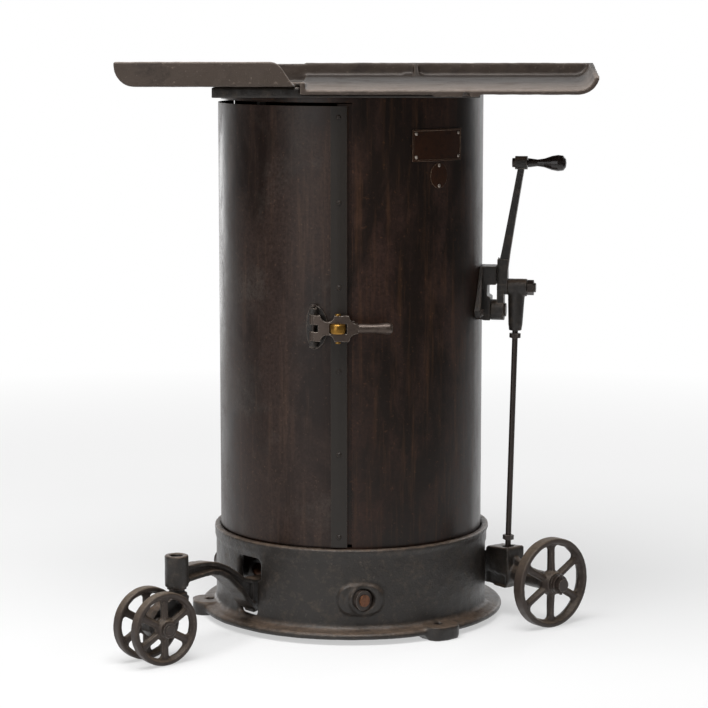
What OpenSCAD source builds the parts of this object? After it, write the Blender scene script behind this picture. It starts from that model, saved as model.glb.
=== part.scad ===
// Wheeled machine pedestal: a round sheet-steel cabinet on a cast-iron base, a cast tray on top,
// a swivel caster in front and a lever-lowered axle with two spoked wheels behind.
// The origin is on the floor under the axis of the cabinet, +Z is up and -Y is the front.

/* [Cabinet] */
// Outer radius of the sheet-steel cabinet
shell_r = 228.6; // [215:0.1:240]
// Thickness of the cabinet's sheet
sheet_t = 2.5; // [1.5:0.1:4]
// Height of the top of the cabinet above the floor
shell_top = 912.5; // [860:0.5:960]
// Direction of the free edge of the doorway, from +X
doorway_edge = -89.8; // [-95:0.1:-80]
// Direction of the hinge pins, from +X
hinge_dir = 155; // [145:1:165]
// Depth of the hoop of sheet left above the doorway
top_hoop_h = 5; // [4:0.5:20]
// Thickness of the cabinet's floor plate
floor_plate_t = 3; // [2:0.5:6]
// Thickness of the disc that closes the top
top_disc_t = 8; // [5:0.5:12]
// Thickness of the strip behind the door's free edge
jamb_t = 3; // [2:0.5:5]
// Width of that strip
jamb_w = 46; // [34:1:60]

/* [Base] */
// Height of the base casting
base_h = 159; // [140:1:180]
// How far the base wall stands out from the cabinet's sheet
base_proud = 11.4; // [8:0.2:16]
// Thickness of the base wall
base_wall = 12; // [8:0.5:16]
// How far the foot flange stands out from the base wall
flange_out = 27; // [20:1:36]
// Thickness of the foot flange
flange_t = 12; // [8:0.5:16]
// Gap between flange and floor
flange_lift = 8; // [5:0.5:12]
// How far the top bead stands out
bead_out = 3; // [2:0.5:6]
// Height of the top bead
bead_h = 7; // [5:0.5:10]
// Depth of the rebate that the sheet stands in
rebate_h = 9; // [6:0.5:14]
// Width of the ledge under the sheet and the floor plate
ledge_w = 12; // [8:0.5:18]
// How far the foot lugs stand out from the foot flange
lug_out = 16; // [12:1:26]
// Width of a foot lug
lug_w = 64; // [50:1:80]
// Height of a foot lug
lug_h = 24; // [22:0.5:30]
// Distance of the floor bolts outside the base wall
lug_bolt_out = 12; // [8:1:18]
// Radius of a floor bolt hole
lug_hole_r = 7; // [5:0.5:9]
// Direction of the first foot lug, from +X
lug_dir = -54; // [-60:1:-48]
// Half the width of the arm's opening in the base
slot_half = 28; // [24:1:34]
// Bottom of the arm's opening above the floor
slot_z0 = 29; // [25:1:32]
// Top of the arm's opening above the floor
slot_z1 = 129; // [120:1:138]
// Width of the bosses that carry the pivot shaft
boss_w = 28; // [20:1:36]

/* [Door] */
// Gap between the door's free edge and the doorway's edge
door_gap = 8; // [5:0.5:12]
// How far the door's face stands proud of the cabinet
door_proud = 2.4; // [1:0.1:4]
// Gap under the door
door_play = 1.5; // [1:0.25:4]
// Gap over the door
door_head_gap = 8.5; // [2:0.5:12]
// Width of the strap down the door's edge
strap_w = 27; // [18:1:36]
// Thickness of that strap
strap_t = 3; // [2:0.5:5]
// Depth of the stiffening bands inside the door
band_h = 22; // [14:1:30]
// Radius of a hinge pin
hinge_pin_r = 2.5; // [2:0.1:3.5]
// Radius of a hinge barrel
hinge_barrel_r = 5.2; // [4.8:0.1:7]
// Height of one hinge
hinge_h = 66; // [50:1:90]
// Thickness of a hinge leaf
leaf_t = 2.6; // [2:0.1:4]
// Width of a hinge leaf
leaf_w = 24; // [16:1:34]
// Radius of a rivet head
rivet_r = 4; // [3:0.25:6]

/* [Latch] */
// Height of the latch above the floor
latch_z = 533.5; // [500:0.5:570]
// Sideways place of the latch's hinge pin
latch_pin_x = -63.5; // [-70:0.5:-60]
// Radius of the latch's hinge pin
latch_pin_r = 3.2; // [2.5:0.1:4]
// Height of the latch body
latch_h = 43; // [38:0.5:48]
// Depth of the latch body
latch_d = 16; // [13:0.5:20]
// Radius of the brass roller
roller_r = 13.5; // [11:0.25:14]
// Height of the brass roller
roller_h = 16; // [12:0.5:17]
// Radius of the roller's pin
roller_pin_r = 3; // [2:0.1:4]
// Reach of the latch handle, from the hinge pin
latch_reach = 136; // [120:1:150]
// Half the height of the gap between the latch's knuckles
knuckle_z = 6.2; // [5:0.2:8]

/* [Table] */
// Left end of the tray
tray_left = -387; // [-420:1:-360]
// Right end of the tray
tray_right = 404; // [370:1:430]
// Front edge of the tray
tray_front = -262; // [-285:1:-250]
// Back edge of the tray
tray_back = 250; // [245:1:280]
// Thickness of the tray's floor and walls
tray_t = 8; // [6:0.5:11]
// Height of the middle of the tray's underside above the cabinet's top
tray_lift = 12; // [11:0.5:20]
// Rise of the left floor towards the front, and of the right floor towards the back
tray_slope = 6.5; // [4:0.5:9]
// Height of the front wall's top above the middle of the underside
front_wall_h = 47.5; // [35:0.5:60]
// Height of the back wall's top above the middle of the underside
back_wall_h = 34; // [26:0.5:50]
// Height of the right end's top above the middle of the underside
end_wall_h = 42; // [30:0.5:55]
// Radius of the tray's rounded ends
tray_end_r = 34; // [24:1:40]
// Place of the step between the two floors
tray_step_x = -75; // [-95:1:-55]
// Length of the curve in which the front wall ends
sweep_l = 55; // [40:1:80]
// Place of the rib inside the back wall
rib_x = 118; // [95:1:150]
// How far the right end runs outwards towards the back
tray_splay = 40; // [20:1:60]
// Place of the pad under the front wall
lip_x = 170; // [150:1:190]
// Left end of the saddle plate
saddle_left = -229; // [-240:1:-215]
// Right end of the saddle plate
saddle_right = 211; // [190:1:225]
// Depth of the saddle plate, front to back
saddle_d = 472; // [450:1:488]
// Spacing of the table bolts
table_bolt_pitch = 300; // [240:5:320]
// Radius of a table bolt
table_bolt_r = 6; // [4:0.5:8]

/* [Truck] */
// Direction in which the truck points, from +X
truck_dir = -141.5; // [-145:0.5:-138]
// Distance of the pivot shaft in front of the cabinet's axis
pivot_f = 137; // [130:1:150]
// Height of the pivot shaft
pivot_z = 73; // [68:0.5:80]
// Radius of the pivot shaft
pivot_r = 10; // [8:0.5:12]
// Distance of the rear axle inside the outer face of the base wall
axle_in = 54; // [46:1:60]
// Radius of a rear wheel
wheel_r = 78; // [70:0.5:86]
// Width of a rear wheel's tread
wheel_w = 21.5; // [16:0.5:28]
// Distance of a rear wheel's outer face from the truck's centre line
wheel_out = 328.7; // [322:0.5:345]
// Width of a wheel's spokes
spoke_w = 13; // [8:0.5:18]
// Radius of the rear axle
axle_r = 11; // [9:0.5:13]
// Width of the rear beam, front to back
beam_w = 40; // [32:1:46]
// Distance of the lift rod from the truck's centre line
rod_n = 208; // [200:1:214]
// Distance of the caster's swivel axis in front of the cabinet's axis
swivel_f = 434; // [420:1:450]
// Distance of the swivel axis to the side of the truck's centre line
swivel_n = 85.6; // [70:0.2:95]
// Radius of the swivel housing
housing_r = 19.7; // [17:0.1:24]
// Radius of the swivel spindle
spindle_r = 10; // [8:0.5:12]
// Width of the front arm
arm_w = 26; // [18:1:32]
// Bottom of the swivel housing above the floor
housing_z0 = 120; // [116:0.5:124]
// Top of the swivel housing above the floor
housing_z1 = 172.5; // [160:0.5:184]
// Place of the arm across the truck, from its centre line
slot_n = 16; // [10:1:22]
// Bottom of the rear beam above the floor
beam_z0 = 53; // [46:1:58]
// Top of the rear beam above the floor
beam_z1 = 100; // [92:1:108]
// Bottom of the rod's socket above the floor
socket_foot = 84; // [78:1:90]
// Top of the rod's socket above the floor
socket_top = 121; // [114:1:128]
// Distance of each frame side from the truck's centre line
frame_n = 112; // [100:1:124]
// Length of the axle's end outside its wheel
axle_stub = 22; // [18:1:28]

/* [Caster] */
// Radius of a caster wheel
caster_r = 60.5; // [52:0.5:64]
// Width of a caster wheel's tread
caster_w = 17; // [12:0.5:22]
// Distance between the middles of the two caster wheels
caster_gauge = 52; // [48:0.5:60]
// Distance of the caster's axle from its swivel axis
trail = 43; // [34:0.5:50]
// Radius of the caster's axle
caster_axle_r = 8; // [6:0.5:10]

/* [Lever] */
// Height of the hand lever's pivot above the floor
lever_z = 541; // [520:1:560]
// Distance of the crank pin above the lever's pivot
throw = 39.5; // [32:0.5:44]
// Distance of the lever's inner face outside the cabinet's sheet
lever_gap = 28.4; // [25:0.2:32]
// Thickness of the lever's block
lever_t = 18; // [14:0.5:22]
// Height of the top of the lever above its pivot
lever_len = 265; // [220:1:300]
// Radius of the crank pin
crank_pin_r = 8; // [6:0.5:10]
// Radius of the lift rod
rod_r = 5; // [4:0.25:6]
// Radius of the rod's head
head_r = 15.2; // [12:0.2:18]
// Length of the rod's head along the crank pin
head_l = 33; // [28:1:38]
// Radius of the stud that the lever turns on
stud_r = 8; // [6:0.5:10]
// Width of the lever's bracket
bracket_w = 44; // [36:1:52]
// Distance of the bracket's bolts from the lever's pivot
bracket_bolt_x = 48; // [44:1:56]
// Radius of the bracket's bolts
bracket_bolt_r = 4; // [3:0.5:5]
// How far the lever's arm leans outwards
arm_lean = 40; // [30:1:48]
// Radius of the spindle inside the grip
spindle_grip_r = 4.5; // [3.5:0.5:5.5]
// Distance of the rod's upper end outside the head's inner face
rod_seat = 14.534; // [12:0.001:18]
// Length of the grip
grip_l = 66; // [55:1:80]
// Largest radius of the grip
grip_r = 10.2; // [8:0.2:13]

/* [Plates] */
// Direction of the middle of the name plate, from +X
plate_dir = -50.5; // [-56:0.5:-46]
// Width of the name plate
plate_w = 107; // [90:1:120]
// Height of the name plate
plate_h = 53; // [40:1:64]
// Height of the name plate's middle above the floor
plate_z = 833; // [800:1:850]
// Thickness of the plates
plate_t = 1.5; // [1:0.1:3]
// Width of the oval plate
oval_w = 37; // [30:1:44]
// Height of the oval plate
oval_h = 42; // [34:1:50]
// Height of the oval plate's middle above the floor
oval_z = 782; // [770:1:790]
// Radius of a plate pin
plate_pin_r = 1.5; // [1:0.1:2.2]

/* [Fits] */
// Radial clearance of a shaft that turns in a bore
run = 0.05; // [0.02:0.01:0.1]
// Gap between faces that slide past each other
side = 0.5; // [0.3:0.05:1]
// Gap between a piece and what it comes near
clear = 0.3; // [0.3:0.05:1]
// Radial room of the lift rod in its socket
rod_room = 4.75; // [3.5:0.25:5]

/* [Hidden] */
$fn = 72;
cut = 1;
door_out = shell_r + door_proud;
door_in = door_out - sheet_t;
door_dir0 = hinge_dir + 0.6;
door_dir1 = 360 + doorway_edge - door_gap / door_out * 180 / PI;
shell_foot = base_h - rebate_h;
base_r = shell_r + base_proud;
axle_f = base_r - axle_in;
flange_r = base_r + flange_out;
lug_reach = flange_r + lug_out;
lug_bolt_r = base_r + lug_bolt_out;
doorway_z0 = base_h + 0.5;
doorway_z1 = shell_top - top_hoop_h;
door_z0 = doorway_z0 + door_play;
door_z1 = doorway_z1 - door_head_gap;
hinge_r = door_out + hinge_barrel_r + 0.9;
hinge_zs = [for (k = [0.12, 0.5, 0.88]) door_z0 + k * (door_z1 - door_z0)];
tray_mid = shell_top + tray_lift;
tray_len_y = tray_back - tray_front;
tray_wall = tray_t + 1;
fwd = [cos(truck_dir), sin(truck_dir)];
side_dir = [-sin(truck_dir), cos(truck_dir)];
rod_foot = rod_n * side_dir - axle_f * fwd;
rod_dir = atan2(rod_foot[1], rod_foot[0]);
rod_foot_rho = norm(rod_foot);
crank_z = lever_z + throw;
lever_in = shell_r + lever_gap;
head_in = lever_in + lever_t + side;
rod_top_rho = head_in + rod_seat;
rod_tilt = atan2(rod_top_rho - rod_foot_rho, crank_z - socket_top);
latch_pin_y = -sqrt(pow(door_out + 9, 2) - pow(latch_pin_x, 2));
roller_x = latch_pin_x + 41.1;
roller_y = -(sqrt(pow(door_out + strap_t, 2) - pow(roller_x, 2)) + clear + roller_r);
arm_f = base_r - 4;
arm_dir = atan2(swivel_n - slot_n, swivel_f - arm_f);
arm_len = norm([swivel_f - arm_f, swivel_n - slot_n]);
boss_out = ceil(sqrt(base_r * base_r - pivot_f * pivot_f));
boss_in = boss_out - boss_w;
bracket_bolt_at = [[-bracket_bolt_x, lever_z], [bracket_bolt_x, lever_z]];
hub_in = lever_in - 10;
bracket_out = lever_in - side;
slope = tray_slope / -tray_front;
table_bolt_top = tray_mid + tray_t - 4;
table_bolt_at = [for (x = [-1, 1], y = [-1, 1]) [x * table_bolt_pitch / 2, y * 90]];
name_pin_at = [for (x = [-1, 1], y = [-1, 1]) [x * (plate_w / 2 - 7) / shell_r * 180 / PI, y * (plate_h / 2 - 7)]];
strap_dir = door_dir1 - strap_w / door_out * 90 / PI;
rivet_zs = [for (k = [0:5]) door_z0 + 18 + k * (door_z1 - door_z0 - 36) / 5];
lever_back = door_out + strap_t + 2;
arm_top_rho = lever_in + arm_lean;
rod_foot_s = socket_foot - 10 - crank_z;
rod_collar_s = socket_top + 14 - crank_z;
axle_end = wheel_out + axle_stub;
bearing_end = wheel_out - 24.7;
caster_f = swivel_f + trail;
collar_n = caster_gauge / 2 + caster_w / 2 + 3;
caster_axle_l = 2 * collar_n + 12;

// ---- shared shapes ----

function unit(v) = v / norm(v);

// Points of a polygon whose corner k is rounded with radius r[k]
function rounded(p, r, n = 6) = [for (i = [0:len(p) - 1])
    let (a = p[(i + len(p) - 1) % len(p)], b = p[i], c = p[(i + 1) % len(p)],
        u = unit(a - b), v = unit(c - b), half = acos(u * v) / 2,
        ctr = b + unit(u + v) * r[i] / sin(half),
        p0 = b + u * r[i] / tan(half) - ctr, p1 = b + v * r[i] / tan(half) - ctr,
        a0 = atan2(p0[1], p0[0]), a1 = atan2(p1[1], p1[0]), da = (a1 - a0 + 540) % 360 - 180)
    each (r[i] <= 0 ? [b] : [for (k = [0:n]) ctr + r[i] * [cos(a0 + da * k / n), sin(a0 + da * k / n)]])];

// A curved plate between two radii, from direction a0 to a1, from z0 to z1
module arc_plate(r0, r1, a0, a1, z0, z1)
    rotate([0, 0, a0]) translate([0, 0, z0])
        rotate_extrude(angle = a1 - a0) translate([r0, 0]) square([r1 - r0, z1 - z0]);

module tube(r0, r1, h)
    difference() {
        cylinder(r = r1, h = h);
        translate([0, 0, -cut]) cylinder(r = r0, h = h + 2 * cut);
    }

// Children drawn in the truck's frame: x forwards, y to the right-hand side, z up
module in_truck() rotate([0, 0, truck_dir]) children();

// Children drawn in the lever's frame: x away from the cabinet's axis, z up
module in_lever() rotate([0, 0, rod_dir]) children();

// Children drawn along the truck's y axis, starting at distance n
module across(f, n, z) translate([f, n, z]) rotate([-90, 0, 0]) children();

// Children drawn along the lever frame's x axis, starting at rho
module outwards(rho, z) translate([rho, 0, z]) rotate([0, 90, 0]) children();

// An outline in the plane of x and z, given a thickness across it
module side_plate(w) translate([0, w / 2, 0]) rotate([90, 0, 0]) linear_extrude(w) children();

module hex_nut(af, h) cylinder(r = af / sqrt(3), h = h, $fn = 6);

// ---- base ----

module lug() {
    reach = lug_reach - base_r + base_wall / 2;
    translate([base_r - base_wall / 2, 0, 0]) linear_extrude(lug_h)
        polygon(rounded([[0, -lug_w / 2], [reach, -lug_w / 2], [reach, lug_w / 2], [0, lug_w / 2]],
            [0, 22, 22, 0]));
}

module base_ring() {
    r_in = base_r - base_wall;
    foot = flange_lift + flange_t;
    ledge_r = shell_r - sheet_t - ledge_w;
    rotate_extrude($fn = 144) polygon(concat(
        [[r_in, flange_lift]],
        [[flange_r - 3, flange_lift], [flange_r, flange_lift + 3], [flange_r, foot - 4],
            [flange_r - 4, foot], [base_r + 7, foot + 2], [base_r + 2, foot + 5],
            [base_r, foot + 10], [base_r, base_h - bead_h - bead_out],
            [base_r + bead_out, base_h - bead_h], [base_r + bead_out, base_h - 2],
            [base_r + bead_out - 2, base_h], [shell_r + clear, base_h],
            [shell_r + clear, shell_foot], [ledge_r, shell_foot], [ledge_r, shell_foot - 8],
            [r_in, shell_foot - 8 - ledge_w]]));
}

// Band under the bead on the left of the front, with its mitred end
module base_band() {
    band_z0 = base_h - 20;
    rotate([0, 0, -180]) rotate_extrude(angle = 88) translate([base_r - cut, band_z0])
        square([cut + bead_out - 0.8, 20 - bead_h]);
}

// Window in the wall for one end of the rear beam
module beam_window(s) translate([-axle_f, s * 160, 0])
    translate([-beam_w / 2 - 9, -90, beam_z0 - 30]) cube([beam_w + 18, 180, beam_z1 - beam_z0 + 58]);

// Opening in the wall for the front arm: narrow below, with a wider part beside the arm's top
module arm_slot() translate([base_r - 35, slot_n, 0]) rotate([90, 0, 90]) linear_extrude(60)
    polygon(rounded([[-slot_half, slot_z0], [20, slot_z0], [20, slot_z1 - 40], [slot_half, slot_z1 - 36],
        [slot_half, slot_z1], [-slot_half, slot_z1]], [3, 3, 0, 5, 7, 7]));

// Oval pad on the wall round one end of the pivot shaft
module pivot_pad(s) {
    at = pivot_f * fwd + s * sqrt(base_r * base_r - pivot_f * pivot_f) * side_dir;
    rotate([0, 0, atan2(at[1], at[0])]) translate([base_r - base_wall / 2, 0, pivot_z])
        rotate([90, 0, 90]) linear_extrude(base_wall / 2 + 4)
            polygon(rounded([[-39, -24], [39, -24], [39, 24], [-39, 24]], [23.9, 23.9, 23.9, 23.9], 10));
}

module base_casting() color("#2e2926") difference() {
    union() {
        base_ring();
        base_band();
        for (k = [0:2]) rotate([0, 0, lug_dir + 120 * k]) lug();
        for (s = [-1, 1]) pivot_pad(s);
        in_truck() for (s = [-1, 1]) across(pivot_f, s > 0 ? boss_in : -boss_out, pivot_z)
            cylinder(r = 22, h = boss_out - boss_in);
    }
    for (k = [0:2]) rotate([0, 0, lug_dir + 120 * k]) translate([lug_bolt_r, 0, -cut])
        cylinder(r = lug_hole_r, h = lug_h + 2 * cut);
    in_truck() {
        across(pivot_f, -boss_out - 62, pivot_z) cylinder(r = pivot_r + run, h = 2 * boss_out + 124);
        for (s = [-1, 1]) across(pivot_f, s > 0 ? boss_out : -boss_out - 60, pivot_z)
            cylinder(r = 19, h = 60);
        for (s = [-1, 1]) beam_window(s);
        arm_slot();
    }
}

module pivot_shaft() color("#7a5236") in_truck() across(pivot_f, -boss_out - 11, pivot_z)
    cylinder(r = pivot_r, h = 2 * boss_out + 22);

module pivot_nuts() color("#4a4038") in_truck() for (s = [-1, 1])
    across(pivot_f, s > 0 ? boss_out : -boss_out - 8, pivot_z) difference() {
        cylinder(r = 17, h = 8);
        translate([0, 0, -cut]) cylinder(r = pivot_r + run, h = 8 + 2 * cut);
    }

module floor_plate() color("#2c2522") translate([0, 0, shell_foot])
    cylinder(r = shell_r - sheet_t - clear, h = floor_plate_t, $fn = 144);

// ---- cabinet ----

module cabinet_shell() color("#241c1a") difference() {
    translate([0, 0, shell_foot]) tube(shell_r - sheet_t, shell_r, shell_top - shell_foot, $fn = 144);
    arc_plate(shell_r - 20, shell_r + 20, hinge_dir, 360 + doorway_edge, doorway_z0, doorway_z1);
    in_lever() for (p = bracket_bolt_at) translate([0, p[0], p[1]]) outwards(shell_r - 40, 0)
        cylinder(r = bracket_bolt_r + run, h = 60);
    in_lever() outwards(shell_r - 20, lever_z) cylinder(r = stud_r + run, h = 40);
}

module top_disc() color("#2c2522") difference() {
    translate([0, 0, shell_top - top_disc_t]) cylinder(r = shell_r - sheet_t - run, h = top_disc_t, $fn = 144);
    for (p = table_bolt_at) translate([p[0], p[1], shell_top - top_disc_t - cut])
        cylinder(r = table_bolt_r + run, h = top_disc_t + 2 * cut);
}

module door_jamb() color("#2c2522")
    arc_plate(shell_r - sheet_t - jamb_t, shell_r - sheet_t, doorway_edge - jamb_w / shell_r * 30,
        doorway_edge + jamb_w / shell_r * 28, base_h + 6, shell_top - top_disc_t - 2);

// ---- tray ----

// A polygon in the plane of y and z drawn out along x
module along_x(x0, x1) translate([x0, 0, 0]) rotate([90, 0, 90]) linear_extrude(x1 - x0) children();

// A polygon in the plane of x and z drawn out along y
module along_y(y0, y1) translate([0, y1, 0]) rotate([90, 0, 0]) linear_extrude(y1 - y0) children();

// Tilts its children: dir 1 lifts the back, dir -1 lifts the front
module tilted(dir) multmatrix([[1, 0, 0, 0], [0, 1, 0, 0], [0, dir * slope, 1, 0], [0, 0, 0, 1]]) children();

module saddle_part(x0, x1, dir) intersection() {
    tilted(dir) translate([x0, -300, shell_top - 40]) cube([x1 - x0, 600, tray_mid - shell_top + 40]);
    translate([x0, -saddle_d / 2, shell_top]) cube([x1 - x0, saddle_d, 60]);
}

module bolt_bores(z0, z1) for (p = table_bolt_at) translate([p[0], p[1], z0])
    cylinder(r = table_bolt_r + run, h = z1 - z0);

module saddle_plate() color("#2b2725") difference() {
    union() {
        saddle_part(saddle_left, tray_step_x - tray_wall, -1);
        intersection() {
            saddle_part(tray_step_x - tray_wall, tray_step_x, -1);
            saddle_part(tray_step_x - tray_wall, tray_step_x, 1);
        }
        saddle_part(tray_step_x, saddle_right, 1);
    }
    bolt_bores(shell_top - cut, shell_top + 60);
}

// The left trough of the tray, before its top is trimmed
module left_pan() tilted(-1) difference() {
    along_y(tray_front, tray_back) polygon(rounded([[tray_left, tray_mid + 80],
        [tray_left, tray_mid], [tray_step_x, tray_mid], [tray_step_x, tray_mid + 80]], [0, tray_end_r, 0, 0]));
    along_y(tray_front + tray_wall, tray_back - tray_wall) polygon(rounded([[tray_left + tray_wall,
        tray_mid + 90], [tray_left + tray_wall, tray_mid + tray_t], [tray_step_x + cut, tray_mid + tray_t],
        [tray_step_x + cut, tray_mid + 90]], [0, tray_end_r - tray_t, 0, 0]));
}

module right_part(x0, x1, end) difference() {
    along_y(tray_front, tray_back) polygon(rounded([[x0, tray_mid + 80], [x0, tray_mid],
        [x1, tray_mid], [x1, tray_mid + 80]], [0, 0, end ? tray_end_r : 0, 0]));
    along_y(tray_front - cut, tray_back - tray_wall) polygon(rounded([[x0 - cut, tray_mid + 90],
        [x0 - cut, tray_mid + tray_t], [x1 + (end ? -tray_wall : cut), tray_mid + tray_t],
        [x1 + (end ? -tray_wall : cut), tray_mid + 90]], [0, 0, end ? tray_end_r - tray_t : 0, 0]));
}

module right_pan() tilted(1) {
    right_part(tray_step_x - tray_wall, tray_right - 80, false);
    multmatrix([[1, tray_splay / tray_len_y, 0, -tray_front * tray_splay / tray_len_y],
        [0, 1, 0, 0], [0, 0, 1, 0], [0, 0, 0, 1]]) right_part(tray_right - 140, tray_right, true);
}

function sweep_z(t) = tray_mid - 5 + (front_wall_h + 5) * (1 + cos(180 * t)) / 2;

module tray_table() color("#332f2c") difference() {
    union() {
        difference() {
            left_pan();
            along_x(tray_left - 50, tray_step_x + 1) polygon([[tray_front - 40, tray_mid + front_wall_h],
                [tray_front + tray_wall, tray_mid + front_wall_h], [tray_back + 40, tray_mid + back_wall_h],
                [tray_back + 40, tray_mid + 160], [tray_front - 40, tray_mid + 160]]);
            along_y(tray_front - 40, tray_front + 60) polygon(concat(
                [for (k = [0:12]) [tray_step_x - sweep_l + sweep_l * k / 12, sweep_z(k / 12)]],
                [[tray_step_x + 40, sweep_z(1)], [tray_step_x + 40, tray_mid + 160],
                    [tray_step_x - sweep_l, tray_mid + 160]]));
        }
        difference() {
            right_pan();
            along_x(tray_step_x - 60, tray_right + 100) polygon([[tray_front - 40, tray_mid + end_wall_h - 20],
                [tray_back - tray_wall, tray_mid + back_wall_h + 3], [tray_back + 40, tray_mid + back_wall_h + 3],
                [tray_back + 40, tray_mid + 160], [tray_front - 40, tray_mid + 160]]);
        }
        along_x(tray_step_x - tray_wall, tray_step_x) polygon([[tray_front, tray_mid + slope * tray_front],
            [0, tray_mid], [tray_back, tray_mid - slope * tray_back],
            [tray_back, tray_mid + tray_t + slope * tray_back], [0, tray_mid + tray_t],
            [tray_front, tray_mid + tray_t - slope * tray_front]]);
        tilted(1) along_x(rib_x - 4, rib_x + 4) polygon([[tray_back - 70, tray_mid + 2],
            [tray_back - 2, tray_mid + 2], [tray_back - 2, tray_mid + back_wall_h - 7],
            [tray_back - tray_wall - 6, tray_mid + back_wall_h - 7]]);
        tilted(1) translate([0, 0, tray_mid + 2]) linear_extrude(tray_t + 1) polygon([[rib_x - 26,
            tray_back - 4], [rib_x, tray_back - 58], [rib_x + 14, tray_back - 4]]);
        tilted(1) translate([lip_x - 37, tray_front, tray_mid - 3])
            cube([75, -saddle_d / 2 - tray_front - clear, 8]);
    }
    tilted(1) along_y(tray_front - 40, tray_front + 16) polygon([[lip_x + 8, tray_mid - 20],
        [lip_x + 22, tray_mid - 20], [lip_x + 22, tray_mid + 3], [lip_x + 12, tray_mid + 5]]);
    bolt_bores(tray_mid - 20, table_bolt_top + 0.5);
}

module table_bolts() color("#3a3430") for (p = table_bolt_at) translate([p[0], p[1], 0]) {
    translate([0, 0, shell_top - top_disc_t]) cylinder(r = table_bolt_r, h = table_bolt_top - shell_top + top_disc_t);
    translate([0, 0, shell_top - top_disc_t - 8]) hex_nut(18, 8);
}

// ---- plates ----

// Children placed on the cabinet's face: x along it to the right, y up, z outwards
module on_shell(dir, z, r = shell_r) rotate([0, 0, dir]) translate([r, 0, z]) rotate([90, 0, 90]) children();

module name_plate() color("#5a4630") difference() {
    union() {
        rotate([0, 0, plate_dir]) arc_sheet(plate_w, plate_h, plate_t, plate_z);
        rotate([0, 0, plate_dir]) difference() {
            arc_sheet(plate_w, plate_h, plate_t + 0.8, plate_z);
            arc_sheet(plate_w - 5, plate_h - 5, plate_t + 5, plate_z);
        }
    }
    for (p = name_pin_at) on_shell(plate_dir + p[0], plate_z + p[1]) translate([0, 0, -cut])
        cylinder(r = plate_pin_r + run, h = 10);
}

// A sheet bent round the cabinet, from its face outwards, centred on +X
module arc_sheet(w, h, t, z) {
    half = w / shell_r * 90 / PI;
    arc_plate(shell_r, shell_r + t, -half, half, z - h / 2, z + h / 2);
}

module oval_plate() color("#5a4630") difference() {
    intersection() {
        rotate([0, 0, plate_dir]) arc_sheet(60, 60, plate_t, oval_z);
        on_shell(plate_dir, oval_z, shell_r - 20) linear_extrude(40)
            polygon([for (k = [0:47]) [oval_w / 2 * cos(7.5 * k), oval_h / 2 * sin(7.5 * k)]]);
    }
    for (s = [-1, 1]) on_shell(plate_dir, oval_z + s * (oval_h / 2 - 4)) translate([0, 0, -cut])
        cylinder(r = plate_pin_r + run, h = 10);
}

module plate_pins() color("#6b5a48") {
    for (p = name_pin_at) on_shell(plate_dir + p[0], plate_z + p[1]) plate_pin(plate_t + 0.1);
    for (s = [-1, 1]) on_shell(plate_dir, oval_z + s * (oval_h / 2 - 4)) plate_pin(plate_t + 0.1);
}

module plate_pin(t) {
    cylinder(r = plate_pin_r, h = t + 1);
    translate([0, 0, t]) cylinder(r1 = plate_pin_r + 1.6, r2 = plate_pin_r, h = 1.4);
}

// ---- hinges ----

module barrel(z0, z1) rotate([0, 0, hinge_dir]) translate([hinge_r, 0, z0]) tube(hinge_pin_r + run, hinge_barrel_r, z1 - z0);

// One leaf: a strip on the sheet that runs out to the barrel
module leaf(z0, z1, s, face) {
    a0 = leaf_w / face * 180 / PI;
    difference() {
        rotate([0, 0, hinge_dir]) {
            arc_plate(face, face + leaf_t, s > 0 ? 1.4 : -a0, s > 0 ? a0 : -1.4, z0, z1);
            translate([face, s > 0 ? 0.4 : -7, z0]) cube([hinge_r - face, 6.6, z1 - z0]);
        }
        rotate([0, 0, hinge_dir]) translate([hinge_r, 0, z0 - cut])
            cylinder(r = hinge_barrel_r - 1, h = z1 - z0 + 2 * cut);
    }
    barrel(z0, z1);
}

module hinge_leaves_fixed() color("#2c2522") for (z = hinge_zs) for (s = [-1, 1])
    leaf(z + (s > 0 ? hinge_h / 6 : -hinge_h / 2), z + (s > 0 ? hinge_h / 2 : -hinge_h / 6), -1, shell_r);

module hinge_leaves_door() color("#2c2522") for (z = hinge_zs)
    leaf(z - hinge_h / 6 + clear, z + hinge_h / 6 - clear, 1, door_out);

module hinge_pins() color("#5a524a") for (z = hinge_zs) rotate([0, 0, hinge_dir])
    translate([hinge_r, 0, z - hinge_h / 2 - 2]) {
        cylinder(r = hinge_pin_r, h = hinge_h + 4);
        translate([0, 0, hinge_h + 2]) cylinder(r = hinge_barrel_r - 0.5, h = 2.5);
    }

// ---- door ----

module door_skin() color("#2a2320") difference() {
    arc_plate(door_in, door_out, door_dir0, door_dir1, door_z0, door_z1);
    for (z = rivet_zs) strap_hole(z);
}

module door_strap() color("#2e2724") difference() {
    arc_plate(door_out, door_out + strap_t, door_dir1 - strap_w / door_out * 180 / PI, door_dir1,
        door_z0, door_z1);
    for (z = rivet_zs) strap_hole(z);
}

module strap_hole(z) on_shell(strap_dir, z, door_in - 5) cylinder(r = 2.5 + run, h = 20);

module strap_rivets() color("#4a4540") for (z = rivet_zs) on_shell(strap_dir, z, door_in - 1.2) {
    cylinder(r = 2.5, h = sheet_t + strap_t + 3);
    translate([0, 0, sheet_t + strap_t + 1.2 + 0.3]) cylinder(r1 = rivet_r, r2 = rivet_r - 1.6, h = 1.8);
    translate([0, 0, 0]) cylinder(r = rivet_r, h = 1.1);
}

module door_bands() color("#2a2320") for (k = [0.02, 0.33, 0.66, 0.965])
    arc_plate(door_in - 3, door_in, door_dir0 + 4, door_dir1 - jamb_w / shell_r * 34 - 2,
        door_z0 + k * (door_z1 - door_z0), door_z0 + k * (door_z1 - door_z0) + band_h);

// ---- latch ----

module at_latch_pin(z) translate([latch_pin_x, latch_pin_y, z]) children();

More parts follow.
